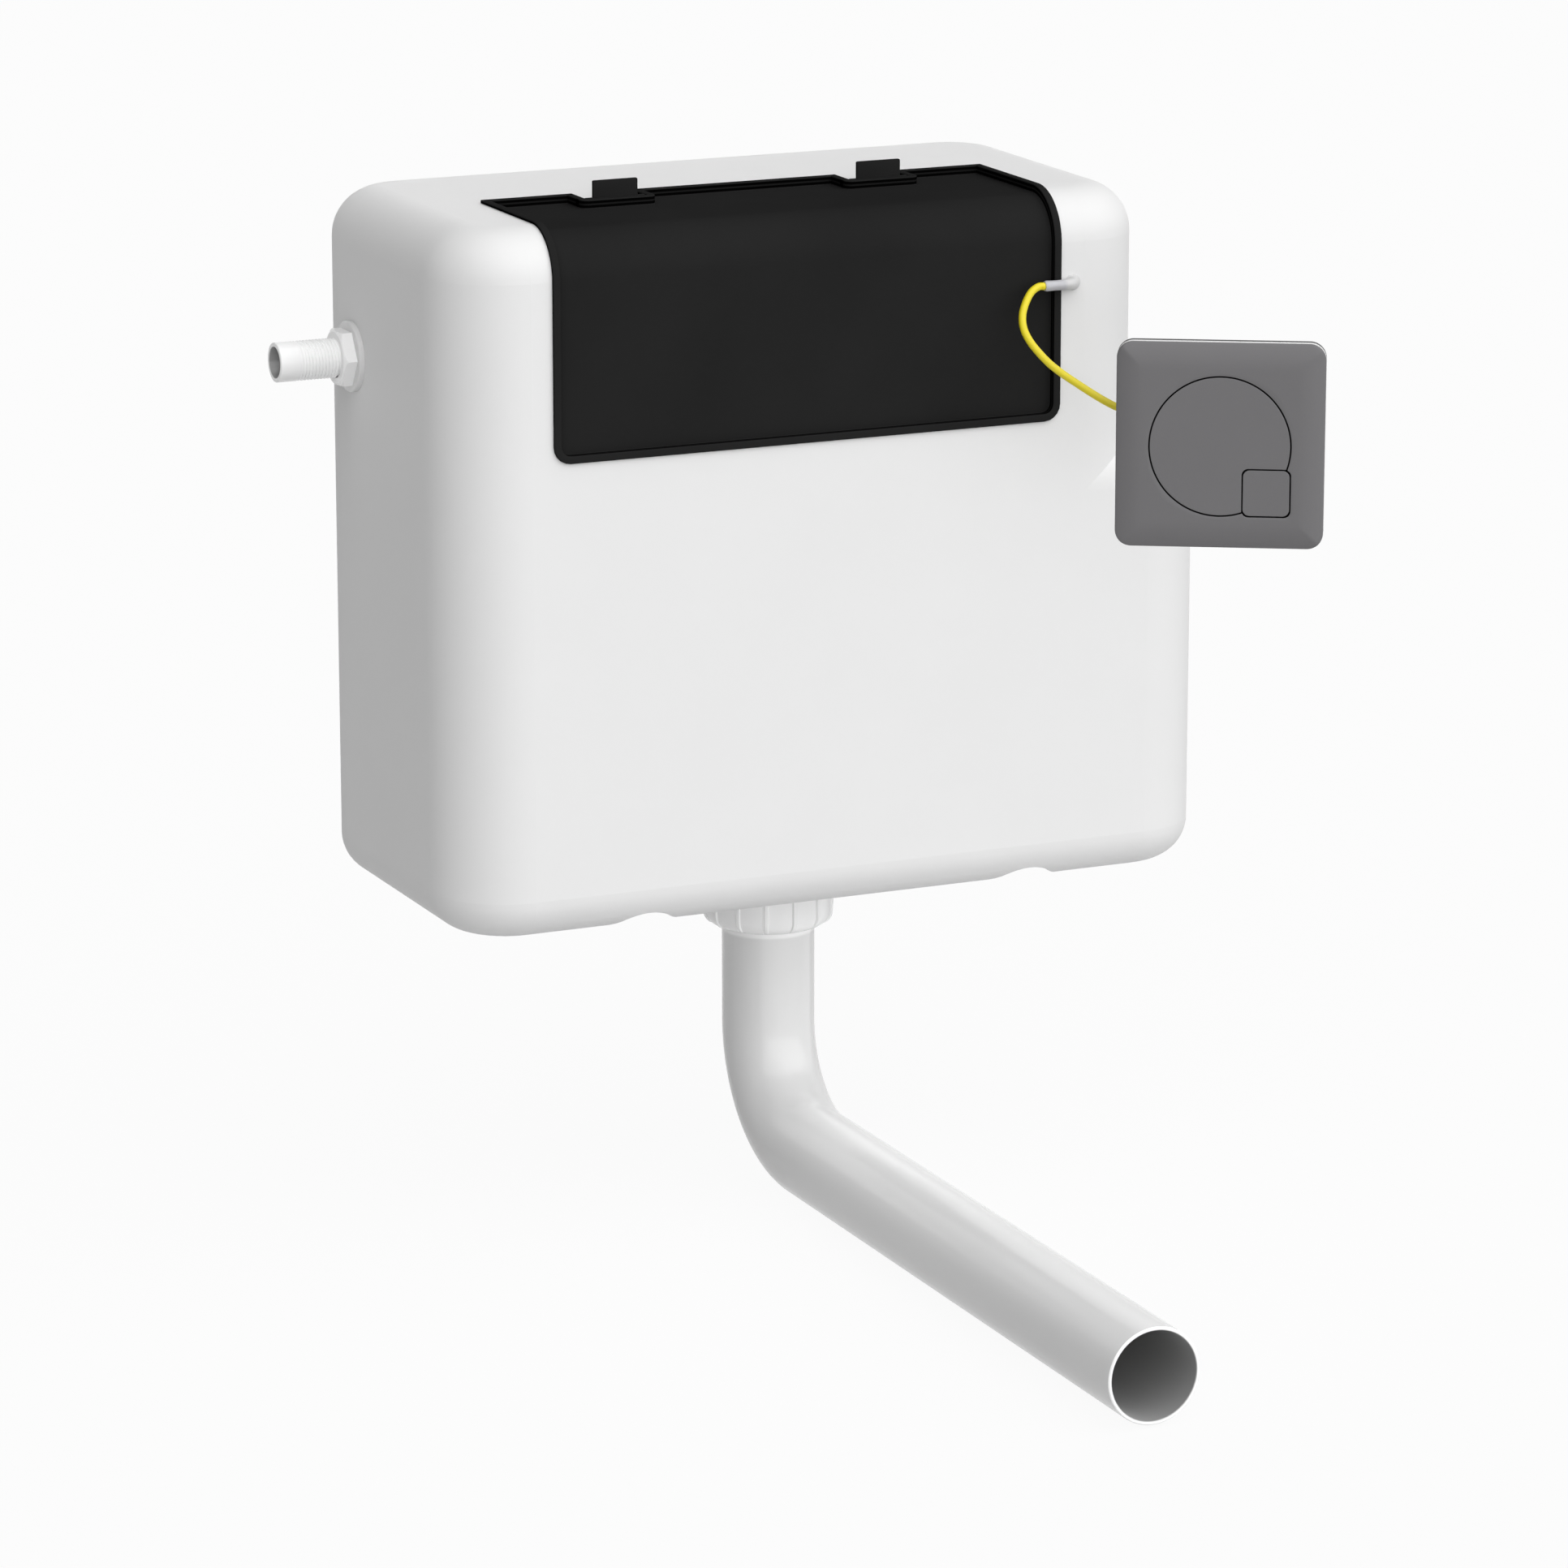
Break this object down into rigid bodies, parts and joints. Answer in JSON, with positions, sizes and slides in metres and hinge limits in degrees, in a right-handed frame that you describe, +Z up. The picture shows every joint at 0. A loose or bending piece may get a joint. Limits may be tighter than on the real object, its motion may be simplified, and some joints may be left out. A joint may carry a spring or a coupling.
{
  "type": "toilet cistern",
  "caption": "Concealed white toilet cistern with black lift-off access cover, side water inlet, dual-flush valve, cable-worked square push plate and bent flush pipe.",
  "frame": {"origin": "midway between the two wall fixing holes, on the tank's back face", "axes": "+X to the right seen from the front, +Y back into the wall, +Z up"},
  "size_m": [0.483, 0.5615, 0.5521],
  "materials": {
    "tank_white": "satin moulded white",
    "pipe_white": "smooth white",
    "cover_black": "fine matt black",
    "plate_grey": "satin gunmetal grey",
    "frame_grey": "matt dark grey",
    "cable_yellow": "smooth yellow sheath",
    "sleeve_grey": "translucent grey-white",
    "valve_blue": "moulded blue-grey",
    "seal_rubber": "soft black",
    "pin_steel": "drawn steel"
  },
  "bodies": {
    "cistern": {"tank": "tank_white", "fill_valve": "pipe_white", "inlet_seal": "seal_rubber", "inlet_nut": "pipe_white", "fill_cap": "valve_blue", "fill_tube": "pipe_white", "lever_pin": "pin_steel", "valve_base": "pipe_white", "base_seal": "seal_rubber", "base_nut": "pipe_white", "valve_cage": "valve_blue", "valve_bridge": "valve_blue", "cable_anchor": "pin_steel", "inner_cable": "cable_yellow", "cable_elbow": "sleeve_grey", "flush_cable": "cable_yellow", "coupling_nut": "pipe_white", "cone_seal": "seal_rubber", "pipe_neck": "pipe_white", "pipe_bend": "pipe_white", "flush_pipe": "pipe_white", "plate_face": "plate_grey", "plate_frame": "frame_grey", "plate_back": "frame_grey", "plate_screws": "pin_steel", "lever_axle": "pin_steel", "cable_ferrule": "pin_steel"},
    "cover": {"access_cover": "cover_black", "latch_pins": "pin_steel"},
    "left_latch": {"left_latch": "cover_black"},
    "right_latch": {"right_latch": "cover_black"},
    "float_arm": {"float_lever": "valve_blue", "float": "pipe_white"},
    "lift": {"lift_tube": "pipe_white", "flush_seal": "seal_rubber", "pull_wire": "pin_steel"},
    "full_key": {"full_button": "plate_grey", "full_spring": "pin_steel"},
    "half_key": {"half_button": "plate_grey", "half_spring": "pin_steel"},
    "lever": {"pull_lever": "valve_blue"}
  },
  "joints": [
    {"name": "cover_lift", "type": "slide", "parent": "cistern", "child": "cover", "axis": [0, 0, 1], "range_m": [0, 0.13]},
    {"name": "left_latch_tilt", "type": "hinge", "parent": "cover", "child": "left_latch", "pos_m": [-0.096, -0.127, 0.0396], "axis": [1, 0, 0], "range_deg": [-12, 0], "stiffness_Nm_per_rad": 0.03},
    {"name": "right_latch_tilt", "type": "hinge", "parent": "cover", "child": "right_latch", "pos_m": [0.054, -0.127, 0.0396], "axis": [1, 0, 0], "range_deg": [-12, 0], "stiffness_Nm_per_rad": 0.03},
    {"name": "float_swing", "type": "hinge", "parent": "cistern", "child": "float_arm", "pos_m": [-0.144, -0.062, -0.054], "axis": [0, -1, 0], "range_deg": [0, 35]},
    {"name": "full_press", "type": "slide", "parent": "cistern", "child": "full_key", "axis": [0.5, 0.866, 0], "range_m": [0, 0.006], "stiffness_N_per_m": 400, "deforming": ["full_spring"]},
    {"name": "half_press", "type": "slide", "parent": "cistern", "child": "half_key", "axis": [0.5, 0.866, 0], "range_m": [0, 0.006], "stiffness_N_per_m": 400, "deforming": ["half_spring"]},
    {"name": "lever_turn", "type": "hinge", "parent": "cistern", "child": "lever", "pos_m": [0.1759, -0.28592, -0.045], "axis": [0.866, -0.5, 0], "range_deg": [0, 12.1]},
    {"name": "valve_lift", "type": "slide", "parent": "cistern", "child": "lift", "axis": [0, 0, 1], "range_m": [0, 0.024]}
  ],
  "couplings": [
    {"joint": "lever_turn", "follows": "full_press", "rad_per_m": 35},
    {"joint": "valve_lift", "follows": "full_press", "ratio": 4}
  ]
}
